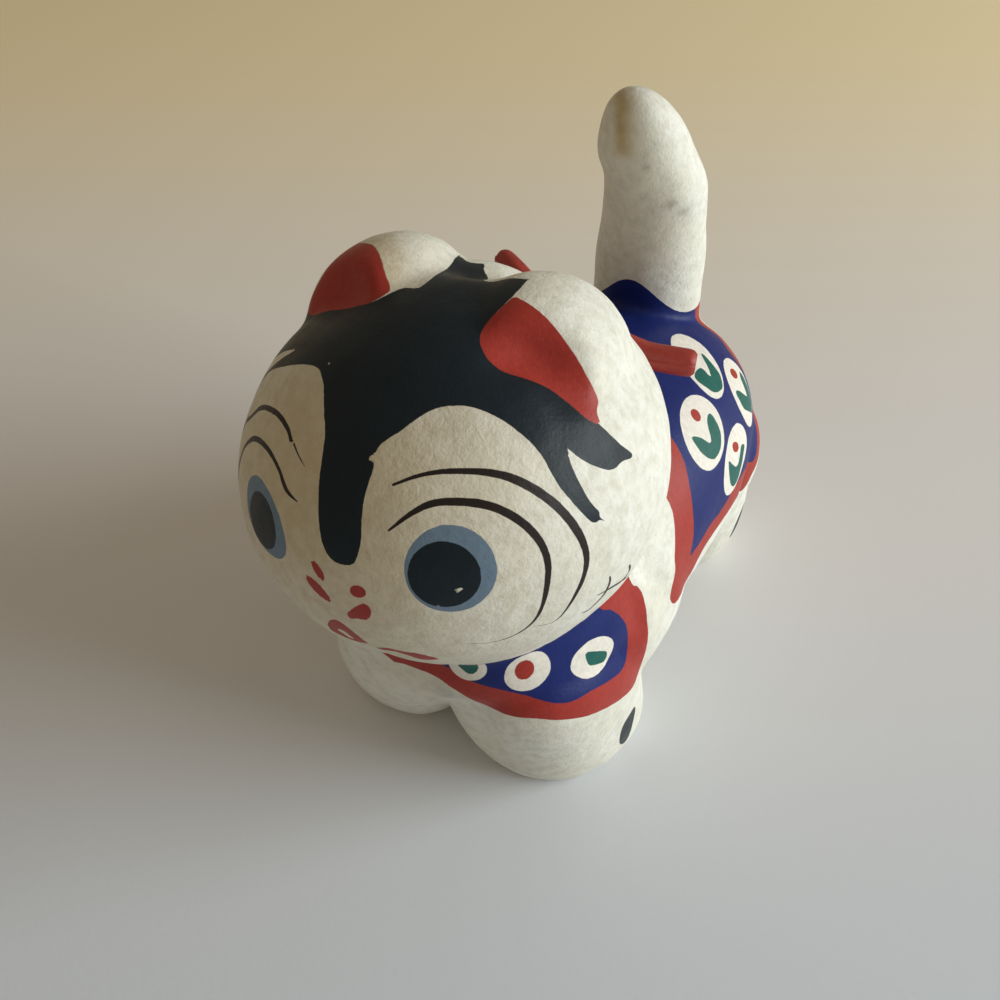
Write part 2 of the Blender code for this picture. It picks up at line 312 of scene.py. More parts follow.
def tail_form():
    """Tail on a grid of turn and height, lofted through its sections.

    Its middle leans forward by the square of its share of the height.
    """
    turn = np.linspace(0.0, 2.0 * np.pi, SEGMENTS, endpoint=False)
    height, across, half = curve_through(TAIL_SECTIONS, 8).T[:, :, None]
    share = (height - TAIL_FOOT) / (TAIL_SECTIONS[-1][0] - TAIL_FOOT)
    rings = np.empty((len(height), SEGMENTS, 3))
    rings[:, :, 0] = across + half * np.cos(turn)
    rings[:, :, 1] = TAIL_FOOT + TAIL_LEAN * share ** 2 + TAIL_DEPTH * half * np.sin(turn)
    rings[:, :, 2] = height
    return rings


def egg(centre, radii, lean=0.0):
    """Sphere on a grid of longitude and latitude, scaled to its radii and leaned about Y."""
    longitude = np.linspace(0.0, 2.0 * np.pi, SEGMENTS, endpoint=False)
    latitude = np.linspace(-POLE, POLE, RINGS)[:, None]
    level = np.cos(latitude)
    sphere = np.stack([level * np.cos(longitude), level * np.sin(longitude),
                       np.broadcast_to(np.sin(latitude), (RINGS, SEGMENTS))], axis=2)
    turn = np.array(Euler((0.0, radians(lean), 0.0)).to_matrix())
    return (sphere * radii) @ turn.T + centre


def ear_form(sizes):
    """Ear lobe: an egg whose part in front of the face plane is pressed back onto it."""
    rings = egg(sizes["centre"], sizes["radii"], sizes["lean"])
    normal = np.array(sizes["face_normal"])
    normal /= np.linalg.norm(normal)
    ahead = np.maximum(0.0, (rings - sizes["face_point"]) @ normal)
    return rings - ahead[..., None] * normal


def head_axes():
    """The head's own axes as the columns of a matrix."""
    angles = (radians(HEAD_PITCH), radians(HEAD_TILT), radians(HEAD_TURN))
    return np.array(Euler(angles, "YXZ").to_matrix())


def figure_forms():
    """Every form that melts into the figure, each as rings of points."""
    in_head = [egg((0.0, 0.0, 0.0), HEAD_RADII), ear_form(LEFT_EAR), ear_form(RIGHT_EAR)]
    forms = [rings @ head_axes().T + HEAD_CENTRE for rings in in_head]
    forms.append(torso_form())
    return forms + leg_forms(-1.0) + leg_forms(1.0) + [tail_form()]


def closed_faces(rings, around, start=0):
    """Faces of a closed tube: quads from ring to ring and one face over each end."""
    index = start + np.arange(rings * around).reshape(rings, around)
    beside = np.roll(index, -1, axis=1)
    quads = np.stack([index[:-1], beside[:-1], beside[1:], index[1:]], axis=2).reshape(-1, 4)
    return quads.tolist() + [index[0, ::-1].tolist(), index[-1].tolist()]


def new_piece(name, points, faces, material):
    """Make one smooth-shaded object from points in millimetres."""
    mesh = bpy.data.meshes.new(name)
    mesh.from_pydata((points * MM).tolist(), [], faces)
    mesh.validate()
    mesh.materials.append(material)
    mesh.shade_smooth()
    piece = bpy.data.objects.new(name, mesh)
    bpy.context.collection.objects.link(piece)
    return piece


def melted(forms, cell, rounds):
    """All the forms as one skin of small even quads, relaxed by rounds of smoothing."""
    points = np.vstack([form.reshape(-1, 3) for form in forms])
    faces = []
    start = 0
    for form in forms:
        faces += closed_faces(len(form), SEGMENTS, start)
        start += len(form) * SEGMENTS
    mesh = bpy.data.meshes.new("forms")
    mesh.from_pydata((points * MM).tolist(), [], faces)
    stock = bpy.data.objects.new("forms", mesh)
    bpy.context.collection.objects.link(stock)
    remesh = stock.modifiers.new("one_skin", "REMESH")
    remesh.mode = "VOXEL"
    remesh.voxel_size = cell
    soften = stock.modifiers.new("soften", "SMOOTH")
    soften.factor = 0.5
    soften.iterations = rounds
    skin = bpy.data.meshes.new_from_object(
        stock.evaluated_get(bpy.context.evaluated_depsgraph_get()))
    bpy.data.objects.remove(stock, do_unlink=True)
    bpy.data.meshes.remove(mesh)
    return skin


def read_points(mesh, field="vertices", name="co"):
    """Points or normals of a mesh as an array with three columns."""
    rows = getattr(mesh, field)
    values = np.empty(len(rows) * 3, np.float32)
    rows.foreach_get(name, values)
    return values.reshape(-1, 3).astype(float)


def hand_relief(places, sizes):
    """Height of the hand-laid paper over the smooth skin, in millimetres.

    Broad lumps and small ripples are added, each with finer ones of half the height, then
    each dent takes away its depth times exp(-(distance / width)^2).
    """
    relief = np.zeros(len(places))
    for height, (broad, fine), seed in ((sizes.lump_height, LUMP_SIZES, 1),
                                        (sizes.ripple_height, RIPPLE_SIZES, 3)):
        relief += height / MM * (lumps(places, broad, seed) + 0.5 * lumps(places, fine, seed + 1))
    for path, width, depth in DENTS:
        line = curve_through(path, 4) if len(path) > 2 else np.array(path)
        relief -= depth * faded(line_distance(places, line), width)
    return relief


def rolled_sheet(sizes):
    """Paper roll on a grid of rings along its path and turn round it, both ends closed.

    Over one turn from the seam the radius shrinks by the sheet, and there it steps back out.
    Soft flats run along it.  Towards an end it is worn down by the factor
    1 - wear exp(-distance / reach), and there the spiral of the sheet is pressed in by
    depth * (0.5 + 0.5 cos(2 pi (layers * share - turn))).
    """
    path = curve_through(TIE_PATH, 8)
    done = np.append(0.0, np.cumsum(np.linalg.norm(np.diff(path[:, :3], axis=0), axis=1)))
    to_end = np.minimum(done, done[-1] - done)
    path[:, 3] *= 1.0 - END_WEAR * np.exp(-to_end / END_WEAR_REACH)
    inner = np.linspace(END_FROM, END_TO, END_RINGS)
    row = np.pad(np.arange(len(path)), END_RINGS, mode="edge")
    share = np.concatenate([inner, np.ones(len(path)), inner[::-1]])[:, None]
    inward = np.sign(np.concatenate([inner, np.zeros(len(path)), -inner[::-1]]))[:, None]
    ahead = np.gradient(path[:, :3], axis=0)
    ahead /= np.linalg.norm(ahead, axis=1)[:, None]
    side = np.cross(ahead, (0.0, 0.0, 1.0))
    side /= np.linalg.norm(side, axis=1)[:, None]
    rise = np.cross(side, ahead)
    turn = np.linspace(0.0, 1.0, TIE_SEGMENTS, endpoint=False)
    ridge = np.cos(2.0 * np.pi * (ROLL_FLATS * turn + row[:, None] / FLAT_TWIST))
    width = path[row, 3:] * (1.0 - FLAT_DEPTH * (1.0 - ridge))
    radius = share * (width - sizes.sheet / MM * ((turn - SEAM) % 1.0))
    spiral = 0.5 + 0.5 * np.cos(2.0 * np.pi * (sizes.layers * share - turn))
    rim = np.minimum(1.0, RIM_FADE * (1.0 - share))
    sink = inward * (END_INSET + sizes.end_depth / MM * spiral * rim)
    angle = 2.0 * np.pi * turn
    return (path[row, None, :3] + sink[..., None] * ahead[row, None]
            + (radius * np.cos(angle))[..., None] * side[row, None]
            + (radius * np.sin(angle))[..., None] * rise[row, None])


def fit_to_box(places, low, high):
    """Stretch the places along each axis so that they just fill the frame's box."""
    low = np.array(low) / MM + (BOX_GAP, BOX_GAP, 0.0)
    high = np.array(high) / MM - BOX_GAP
    least, most = places.min(axis=0), places.max(axis=0)
    return low + (places - least) * (high - low) / (most - least)


# ---------------------------------------------------------------- charts

def head_polar(places):
    """Direction of each place from the head's centre, and its height over the egg form."""
    local = (places - HEAD_CENTRE) @ head_axes() / HEAD_RADII
    reach = np.linalg.norm(local, axis=1)
    return local / reach[:, None], (reach - 1.0) * HEAD_SPAN


def ball_chart(directions, longitude, latitude):
    """Map the head round a middle: each spot keeps its bearing and its arc from the middle."""
    lon, lat = radians(longitude), radians(latitude)
    middle = np.array((np.sin(lon) * np.cos(lat), -np.cos(lon) * np.cos(lat), np.sin(lat)))
    left = np.array((np.cos(lon), np.sin(lon), 0.0))
    up = np.cross(middle, left)
    flat = np.stack([directions @ left, directions @ up], axis=1)
    arc = np.arccos(np.clip(directions @ middle, -1.0, 1.0))
    return flat * (HEAD_SPAN * arc / np.maximum(np.linalg.norm(flat, axis=1), 1e-9))[:, None]


def patch_chart(places, centre, normal):
    """Flat map on a plane: level direction, upward direction and height over the plane."""
    out = Vector(normal).normalized()
    level = Vector((0.0, 0.0, 1.0)).cross(out).normalized()
    return (places - centre) @ np.array((level, out.cross(level), out)).T


def back_chart(places):
    """Map the barrel's back: arc from the spine on its mean radius, then Y."""
    turn = np.arctan2((places[:, 0] - BODY_X) / TORSO_HALF[0],
                      (places[:, 2] - TORSO_CENTRE[2]) / TORSO_HALF[2])
    return np.stack([BACK_RADIUS * turn, places[:, 1]], axis=1)


def chest_chart(places):
    """Map the chest: arc round an upright axis on its mean radius, then height.

    Spots behind the apron's end are sent off the chart.
    """
    turn = np.arctan2(places[:, 0] - BODY_X, CHEST_AXIS_Y - places[:, 1])
    level = np.where(places[:, 1] < APRON_END, CHEST_RADIUS * turn, OFF_CHART)
    return np.stack([level, places[:, 2]], axis=1)


def mirrored(chart):
    """Fold a chart on its middle line, so that a mark shows on both sides."""
    return np.stack([np.abs(chart[:, 0]), chart[:, 1]], axis=1)


# ---------------------------------------------------------------- painted marks

def close_to(chart, line):
    """Which spots lie in the box round a line, made wider by FAR."""
    return np.all((chart > line.min(axis=0) - FAR) & (chart < line.max(axis=0) + FAR), axis=1)


def area(chart, points):
    """How far each spot lies inside a closed smooth outline; outside it is negative.

    A spot is inside when an odd number of the outline's sides cross the level line to its
    right.
    """
    outline = curve_through(points, 5, closed=True)
    near = close_to(chart, outline)
    spots = chart[near]
    inside = np.zeros(len(spots), bool)
    for start, end in zip(outline, np.roll(outline, -1, axis=0)):
        level = (start[1] > spots[:, 1]) != (end[1] > spots[:, 1])
        if level.any():
            slope = (end[0] - start[0]) / (end[1] - start[1])
            inside ^= level & (spots[:, 0] < start[0] + (spots[:, 1] - start[1]) * slope)
    nearest = line_distance(spots, np.vstack([outline, outline[:1]]))
    depth = np.full(len(chart), -FAR)
    depth[near] = np.where(inside, nearest, -nearest)
    return np.clip(depth, -FAR, FAR)


def oval(chart, centre, radii, turn=0.0):
    """How far each spot lies inside an oval: 1 - |spot / radii|, times the smaller radius."""
    cosine, sine = np.cos(radians(turn)), np.sin(radians(turn))
    spots = (chart[:, :2] - centre) @ np.array(((cosine, -sine), (sine, cosine)))
    return np.clip((1.0 - np.linalg.norm(spots / radii, axis=1)) * min(radii), -FAR, FAR)


def follow(spots, line):
    """How far each spot is from an open line, across it and along it, and where its points are.

    Across is signed.  Along goes on past both ends, below nothing and over the full length.
    """
    spans = np.linalg.norm(np.diff(line, axis=0), axis=1)
    marks = np.append(0.0, np.cumsum(spans))
    gap = np.full(len(spots), np.inf)
    across, along = np.zeros(len(spots)), np.zeros(len(spots))
    for number, (start, end) in enumerate(zip(line, line[1:])):
        run = (end - start) / spans[number]
        offset = spots - start
        ahead = offset @ run
        held = np.clip(ahead, 0.0, spans[number])
        distance = np.linalg.norm(offset - held[:, None] * run, axis=1)
        side = run[0] * offset[:, 1] - run[1] * offset[:, 0]
        first, last = number == 0, number == len(spans) - 1
        beside = (held > 0.0) & (held < spans[number]) | first | last
        low = -np.inf if first else 0.0
        high = np.inf if last else spans[number]
        better = distance < gap
        gap[better] = distance[better]
        across[better] = np.where(beside, side, np.copysign(distance, side))[better]
        along[better] = (marks[number] + np.clip(ahead, low, high))[better]
    return gap, across, along, marks


def strokes(chart, lines):
    """Brush strokes as three numbers per spot: across it, reach along it and half its width.

    Each stroke is a list of (level, up, half width) points.  Across is signed, and reach is
    how far the spot is from the stroke's nearer end, less than nothing beyond it or far to
    its side.
    """
    best = np.full(len(chart), np.inf)
    layer = np.full((len(chart), 3), -FAR)
    layer[:, 2] = 0.0
    for points in lines:
        path = curve_through(points, 4)
        near = close_to(chart, path[:, :2])
        gap, across, along, marks = follow(chart[near], path[:, :2])
        reach = np.minimum(np.minimum(along, marks[-1] - along), STROKE_SIDE - gap)
        half = np.maximum(np.interp(along, marks, path[:, 2]), 0.0)
        chosen = gap < best[near]
        rows = np.flatnonzero(near)[chosen]
        layer[rows] = np.stack([across, reach, half], axis=1)[chosen]
        best[rows] = gap[chosen]
    return layer


def any_of(*layers):
    """A spot lies in the union of several marks as far as it lies in the best of them."""
    return np.maximum.reduce(layers)


def all_of(*layers):
    """A spot lies in the overlap of several marks as far as it lies in the worst of them."""
    return np.minimum.reduce(layers)


# ---------------------------------------------------------------- outlines and strokes

# An outline is a list of (level, up) points on its chart, and a point that is given twice
# makes a corner.  An oval is its middle, its radii and its turn.

# On the crown's chart.
CROWN_PATCH = [
    # the stripe down the brow, round its tip
    (1.8, -30.1), (-0.8, -29.5), (-2.7, -26.2), (-4, -19.1), (-4.8, -13), (-5.5, -10), (-7.3, -6.2),
    # over the right eye, its brush end and the upper brush end
    (-9.5, -2.2), (-12.6, 0), (-20, 0.3), (-28.8, -0.2), (-32, -2.6), (-35.5, -6.5), (-40, -11),
    (-40, -11), (-37.5, -5), (-32, -0.5), (-26, 1.8), (-20.4, 3.9), (-20.4, 3.9),
    (-26, 3.9), (-33, 3.2), (-41, 1), (-41, 1), (-46, 6), (-42, 12), (-33, 16),
    # under the right ear and back over the nape, which ends in two brush tips
    (-26, 15), (-20, 14.8), (-13, 14.6), (-10.2, 13.9), (-8.2, 15.3), (-6, 18), (-3.6, 18.3),
    (-3.1, 20), (-3.4, 24), (-5, 31), (-7.6, 37.2), (-7.6, 37.2), (-4.1, 35.1), (-1.4, 36.8),
    (-1.4, 36.8), (0, 34.3), (2.3, 32.1), (3.8, 28), (5.6, 24.6), (9, 24.2), (12.8, 23.5),
    # up the left ear's inner side and along its foot
    (12.8, 23.5), (12.6, 19.2), (11.5, 14), (12.4, 11), (14.4, 9), (17.3, 8), (22.6, 8.6),
    (26.4, 8), (31.5, 6.2), (34.8, 5.6),
    # upper and lower brush ends on the left
    (39, 4.8), (43.3, 4.7), (43.3, 3.6), (41.6, 1.9), (40.8, 0.2), (39.2, -1.2), (35, -1.9),
    (30.4, -1.1), (30.4, -1.1), (33.5, -4.5), (38.2, -8), (41.1, -9.2), (41.1, -9.9),
    (44.1, -10.5), (44.1, -10.5), (41.3, -10.6), (40.8, -11.5), (38.6, -11), (33.4, -8.6),
    # over the left eye and back down to the stripe
    (30.8, -7), (27.1, -4), (22.7, -2), (18.4, -0.9), (13.9, -1), (9.7, -3), (6.6, -7.2),
    (4.1, -10.4), (4.3, -13.5), (4, -19.3), (4.5, -25.7), (3.6, -29.3),
]
CROWN_CHIPS = [((-9.9, 0.8), 0.3), ((5.6, -9.6), 0.8), ((3.8, -12.4), 0.6)]

# On the plane of each ear's face.
LEFT_EAR_RED = [
    (-2.2, 11), (-2.2, 11), (0.6, 8.5), (3.2, 5.2), (5.7, 1.1), (7.4, -2.6), (8.9, -6),
    (8.4, -7.9), (8.8, -10), (8.8, -10), (6.6, -9), (4, -6.2), (1.3, -3.6), (-2.1, -1.9),
    (-5.4, -0.6), (-7.6, 1.4), (-8.5, 4), (-7.5, 6.4), (-4.7, 9.1),
]
RIGHT_EAR_RED = [
    (-9.8, -6), (-9.8, -6), (-9.8, 8.6), (-9.8, 8.6), (-5, 10.2), (-2.3, 10.4), (1.1, 9.8),
    (5.8, 7.9), (7.2, 6.8), (6.5, 4.4), (3.1, 2), (-1.8, -1.3), (-5.8, -4.8),
]

# On the face's chart: a dot over the nose and two dashes beside it, the nose and the lips.
SNOUT_OVALS = [
    ((3.6, 7.1), (1.45, 1.25), 30.0), ((-3.3, 9.0), (2.15, 0.85), -61.0),
    ((-3.9, 4.7), (3.0, 1.2), -46.0),
]
NOSE = [
    (0.8, 1), (2.2, 2.9), (3.6, 4.3), (4.6, 4.8), (5.3, 3.6), (5, 1.8), (3.9, 0.5), (2.5, 0.4),
    (1.2, -0.2),
]
LEFT_LIP = [
    (1, -12.2), (1, -12.2), (4.8, -8.8), (7.4, -9.1), (10.5, -9.7), (13.4, -12.3), (13.4, -12.3),
    (11.2, -13.1), (9.6, -13), (7.8, -10.9), (5.6, -9.9),
]
RIGHT_LIP = [
    (-5.4, -6.4), (-3.4, -3.2), (-1.9, -2.3), (-0.5, -3.4), (0.6, -5.7), (1.4, -9.6), (1.4, -9.6),
    (-1.5, -13.5), (-3.5, -14.1), (-6.2, -12.8), (-7.1, -11.7), (-6.5, -9),
]
BARE_LIP = [
    (-4.1, -8), (-3.1, -7.3), (-2.6, -8.2), (-2.7, -10), (-2.7, -12.2), (-3.6, -12.9), (-4.6, -9.9),
]

# On each eye's chart: the ring and the pupil, and in the left ones bare spots that are partly flecks
# and partly painted highlights for the glints.
LEFT_RING, LEFT_PUPIL = ((1.4, 0.6), (6.65, 8.0), 6.0), ((0.5, -0.1), (5.25, 6.15), 11.0)
RIGHT_RING, RIGHT_PUPIL = ((0.25, 1.35), (7.4, 5.3), 40.0), ((0.6, 0.65), (5.0, 4.25), 70.0)
# Bare spots in the left eye's paint: painted highlights for its glints, partly real flecks.
LEFT_EYE_FLECKS_AND_GLINTS = [((2.1, -3), 0.4), ((2.7, -2.6), 0.4), ((-0.1, -5), 0.2)]

# Brush strokes: lists of (level, up, half width).  The brows are on the eyes' charts, the
# whiskers and the lines that cross them on the cheek's.
OUTER_BROW = [
    [(-6.8, 14.7, 0.18), (-2.8, 16.2, 0.32), (1.7, 16.7, 0.43), (7.8, 15.9, 0.58),
     (12.8, 13.4, 0.69), (17.6, 8.8, 0.71), (21.3, 2.6, 0.68), (22.6, -3.5, 0.55),
     (21, -10, 0.38), (17.9, -15.9, 0.12), (14, -15.6, 0.03)],
]
INNER_BROW = [
    [(-7.4, 7.6, 0.18), (-3.9, 10.5, 0.42), (-0.2, 12.1, 0.58), (5.4, 11.6, 0.66),
     (9.9, 9.4, 0.66), (13.5, 5.6, 0.63), (15.6, 0.8, 0.56), (15.8, -4.9, 0.5),
     (14.9, -11.2, 0.32), (12.5, -15.5, 0.2), (8, -17.5, 0.08), (2.6, -16.5, 0.04)],
]
RIGHT_BROWS = [
    [(17.9, -15.9, 0.12), (22.5, -3.5, 0.5), (18, 9, 0.5), (14.2, 13.1, 0.42),
     (10.6, 16.6, 0.48), (4.6, 18.3, 0.46), (-0.1, 17.7, 0.4), (-2.3, 16.4, 0.34)],
    [(-2.9, 16.4, 0.16), (-5, 15.2, 0.12), (-7.1, 14.2, 0.02)],
    [(14, -13.8, 0.24), (15.4, -6, 0.45), (14.2, 2.5, 0.5), (12.5, 7.7, 0.4),
     (8.7, 11.7, 0.5), (3.2, 12.8, 0.46), (-1.8, 11.4, 0.36), (-4.6, 9.2, 0.42),
     (-7.7, 8.4, 0.1)],
]
WHISKERS = [
    [(10.8, -1.2, 0.2), (11.8, -4, 0.32), (10.7, -5.6, 0.36), (7.3, -4.2, 0.34),
     (3.5, -3, 0.14)],
]
CROSSING = [
    [(14.6, -8.4, 0.1), (12.1, -6.7, 0.28), (10.3, -5.4, 0.3)],
    [(5.3, 0.8, 0.16), (5.8, -1.6, 0.32), (5.4, -5, 0.34), (3, -7.3, 0.28), (1.4, -6.7, 0.1)],
]

# On the chest's chart.
APRON_RED = [
    (-4, 41.8), (2.2, 41.7), (7.5, 41.8), (10.8, 40.2), (13, 38.6), (15.3, 36.2), (19, 35),
    (24, 34.9), (29, 33), (36.7, 29.1), (41.2, 26.9), (45.9, 25.1), (48.4, 26.6), (48.9, 32.4),
    (49.5, 38), (50.3, 44.3), (49.4, 48), (47.7, 51), (46, 70), (46, 70), (-4, 70), (-4, 70),
]
APRON_BLUE = [
    (8.8, 47.4), (11, 44.8), (13.8, 43.2), (18.7, 41.5), (24.6, 38.5), (29.2, 36.6), (33.7, 36.1),
    (38.3, 34.6), (42.2, 33.7), (44, 35.5), (44.4, 41.3), (43.2, 45.1), (41.1, 48.3),
    (37.5, 52), (34, 70), (34, 70), (9, 70), (9, 70),
]

# On the back's chart.
CLOTH_RED = [
    (-5, 0), (20, 0), (31.8, -0.1), (36.2, -1.6), (41.9, -4.4), (45.4, -5), (48.9, -7.3),
    (52, -7.6), (54.4, -5.8), (56, 0.9), (54.6, 5), (52.8, 9), (52.3, 15), (52.8, 21),
    (54.4, 29), (58.5, 36), (64.2, 41.1), (60.5, 44.8), (58, 49), (50, 54), (38, 56.5),
    (24, 56.5), (12.2, 54.5), (-5, 53.5),
]
CLOTH_BLUE = [
    (-5, 12.5), (14, 12.2), (23.5, 11.3), (28.3, 10), (32.6, 7.7), (38, 5.6), (44, 3.8),
    (48.6, 2.2), (48.6, 2.2), (48.6, 8), (47.9, 12.4), (48.6, 18), (48.2, 25), (49, 31),
    (52, 38), (56.1, 43.5), (54.6, 46.4), (46, 51), (36, 52), (25.5, 50.5), (20, 53.6),
    (12, 51), (-5, 50.6),
]

# Medallions: middle, radii, turn, red dot as an oval, and the outline of the green mark.
APRON_MEDALLIONS = [
    ((13.4, 46.3), (3.15, 3.1), 0.0, None,
     [(15.2, 46.4), (14.2, 44.8), (13.3, 45), (12.3, 45.9), (11.5, 47.2),
      (12.2, 49.5), (14.8, 49.5)]),
    ((23.1, 44.7), (3.8, 4.15), -20.0,
     ((22.5, 45.4), (1.6, 2.05), 0.0), None),
    ((35.5, 41.6), (5.05, 3.85), -20.0, None,
     [(33.7, 43.3), (34.3, 43.6), (38.1, 41.1), (38.7, 39.8), (38.3, 38.8),
      (37.2, 38.8), (34.7, 40), (34.1, 41.1)]),
]
CLOTH_MEDALLIONS = [
    ((28.4, 20.5), (8.4, 6.9), 130.0, ((24.6, 21.5), (1.45, 1.4), 0.0),
     [(26.7, 16), (28.2, 18.2), (31.1, 20.1), (30.1, 21.3), (27.8, 22.8),
      (26.8, 24.6), (27.2, 25.9), (29.4, 25.9), (31.8, 25.1), (33.8, 23),
      (34.5, 20.7), (34.2, 18.5), (32.5, 16.8), (30.1, 15.8)]),
    ((41.1, 27.6), (6.3, 8.5), 36.0, ((38, 28.2), (1.75, 1.2), 45.0),
     [(38.5, 23.6), (41.2, 22.9), (44.6, 23.1), (47.2, 25.1), (47.4, 27.7),
      (45.4, 30), (42.8, 31.6), (41.2, 33), (40, 32), (39.9, 30.7), (42.6, 28),
      (42.1, 26.3), (40.6, 25.1)]),
    ((32.6, 43), (9.2, 6.0), -12.0, ((27.6, 43.7), (1.6, 1.35), 45.0),
     [(29.5, 47.6), (33.5, 48.2), (38.5, 47.8), (41.6, 45.8), (38.3, 42.2),
      (35, 39.1), (31.8, 38.9), (30.1, 39.4), (30.8, 40.8), (34.6, 43.6),
      (32.8, 44.5), (30.3, 45.4)]),
    ((19, 35.3), (8.7, 5.8), -27.0, None,
     [(17.9, 38.9), (21.4, 38.5), (24.5, 37.6), (26.3, 35), (25.2, 31.7),
      (22.8, 30.4), (20.8, 29.7), (19.6, 30.2), (19.2, 32), (19.8, 34.3),
      (22.6, 34.3), (21.1, 36), (19.1, 37.4)]),
]

# Black drops on the legs, seen from the side: (along, up).
FRONT_DROP = [
    (-19.8, 15.9), (-18.5, 13.4), (-18.8, 7.5), (-19.8, 3.8), (-22, 5), (-24.2, 9.4),
    (-24, 13.9), (-22.1, 15.3),
]
HIND_DROP = [
    (47.5, 17.5), (47.5, 17.5), (44.6, 15.2), (43.4, 11.5), (43.2, 7.5), (43.2, 7.5),
    (47.5, 8), (50, 12),
]


# ---------------------------------------------------------------- painted layers

def ear_red(places, ear, outline):
    """The red of an ear: an outline on the plane of the ear's face, no further than EAR_REACH."""
    chart = patch_chart(places, ear["red_middle"], ear["red_normal"])
    return all_of(area(chart[:, :2], outline), EAR_REACH - np.abs(chart[:, 2]))


def bare_chips_and_glints(chart, spots):
    """Small bare round spots in the paint, each (middle, radius): flaked paint, and in the left eye
    painted highlights for its glints.
    """
    return any_of(*[oval(chart, middle, (radius, radius)) for middle, radius in spots])


def head_marks(places):
    """Layers for everything painted on the head."""
    directions, rise = head_polar(places)
    on_face = np.clip(FACE_RISE - rise, -FAR, FAR)
    on_crown = np.clip(CROWN_RISE - rise, -FAR, FAR)
    crown = ball_chart(directions, *CROWN_MIDDLE)
    face = ball_chart(directions, *FACE_MIDDLE)
    cheek = ball_chart(directions, *CHEEK_MIDDLE)
    left_eye = ball_chart(directions, EYE_LONGITUDE, EYE_LATITUDE)
    right_eye = ball_chart(directions, -EYE_LONGITUDE, EYE_LATITUDE) * (-1.0, 1.0)
    # The left eye's paint leaves bare spots that show the coat as painted highlights, partly real
    # flecks.
    eye_paint = all_of(on_face, -bare_chips_and_glints(left_eye, LEFT_EYE_FLECKS_AND_GLINTS))
    lips = any_of(area(face, LEFT_LIP), all_of(area(face, RIGHT_LIP), -area(face, BARE_LIP)))
    snout = any_of(lips, area(face, NOSE), *[oval(face, *sizes) for sizes in SNOUT_OVALS])
    return {
        "red": any_of(
            ear_red(places, LEFT_EAR, LEFT_EAR_RED), ear_red(places, RIGHT_EAR, RIGHT_EAR_RED),
            all_of(on_face, snout)),
        "black": all_of(area(crown, CROWN_PATCH), on_crown, -bare_chips_and_glints(crown, CROWN_CHIPS)),
        "ring": all_of(eye_paint, any_of(oval(left_eye, *LEFT_RING),
                                         oval(right_eye, *RIGHT_RING))),
        "pupil": all_of(eye_paint, any_of(oval(left_eye, *LEFT_PUPIL),
                                          oval(right_eye, *RIGHT_PUPIL))),
        "outer_brow": strokes(left_eye, OUTER_BROW), "inner_brow": strokes(left_eye, INNER_BROW),
        "right_brows": strokes(right_eye, RIGHT_BROWS), "whiskers": strokes(cheek, WHISKERS),
        "crossing": strokes(cheek, CROSSING),
    }


def medallion(chart, centre, radii, turn, dot, green):
    """A white oval with a red dot, a green mark that stops inside its edge, or both."""
    white = oval(chart, centre, radii, turn)
    red = oval(chart, *dot) if dot else np.full(len(chart), -FAR)
    mark = np.full(len(chart), -FAR)
    if green:
        mark = all_of(area(chart, green), white - GREEN_MARGIN)
    return white, red, mark


def below_edge(places):
    """How far each spot lies below the cloth's upper edge, which laps up the tail's foot.

    Off the barrel the edge's height is EDGE_HEIGHT + EDGE_CREST exp(-((x - EDGE_X) /
    EDGE_WIDTH)^2).
    """
    out = (places[:, 0] - BODY_X) / TORSO_HALF[0]
    up = (places[:, 2] - TORSO_CENTRE[2]) / TORSO_HALF[2]
    along = np.clip(np.abs(places[:, 1] - TORSO_CENTRE[1]) / TORSO_HALF[1], 0.0, 1.0)
    height = (np.hypot(out, up) - round_off(along, TORSO_END_POWER)) * BARREL_SPAN
    edge = EDGE_HEIGHT + EDGE_CREST * faded(places[:, 0] - EDGE_X, EDGE_WIDTH)
    return np.clip(any_of(edge - places[:, 2], CLOTH_RISE - height), -FAR, FAR)


def body_marks(places):
    """Layers for the apron, the back cloth, their medallions and the drops on the legs."""
    off_head = np.clip(head_polar(places)[1] - NECK_GAP, -FAR, FAR)
    chest = mirrored(chest_chart(places))
    back = mirrored(back_chart(places))
    discs = [medallion(chart, *sizes) for chart, row in ((chest, APRON_MEDALLIONS),
                                                         (back, CLOTH_MEDALLIONS))
             for sizes in row]
    white, dot, mark = (any_of(*[disc[i] for disc in discs]) for i in range(3))
    side = places[:, 1:]
    outer = np.clip(np.abs(places[:, 0] - BODY_X) - DROP_OUT, -FAR, FAR)
    drops = any_of(area(side, FRONT_DROP), area(side, HIND_DROP))
    cloth = all_of(off_head, below_edge(places))
    return {
        "red": any_of(all_of(area(chest, APRON_RED), off_head),
                      all_of(area(back, CLOTH_RED), cloth)),
        "blue": any_of(all_of(area(chest, APRON_BLUE), off_head),
                       all_of(area(back, CLOTH_BLUE), cloth)),
        "disc": all_of(white, off_head), "dot": all_of(dot, off_head),
        "green": all_of(mark, off_head), "black": all_of(drops, outer),
    }


def painted_layers(places):
    """Head and body layers together; a mark of one kind may lie on both."""
    layers = head_marks(places)
    for name, values in body_marks(places).items():
        layers[name] = any_of(layers[name], values) if name in layers else values
    return layers


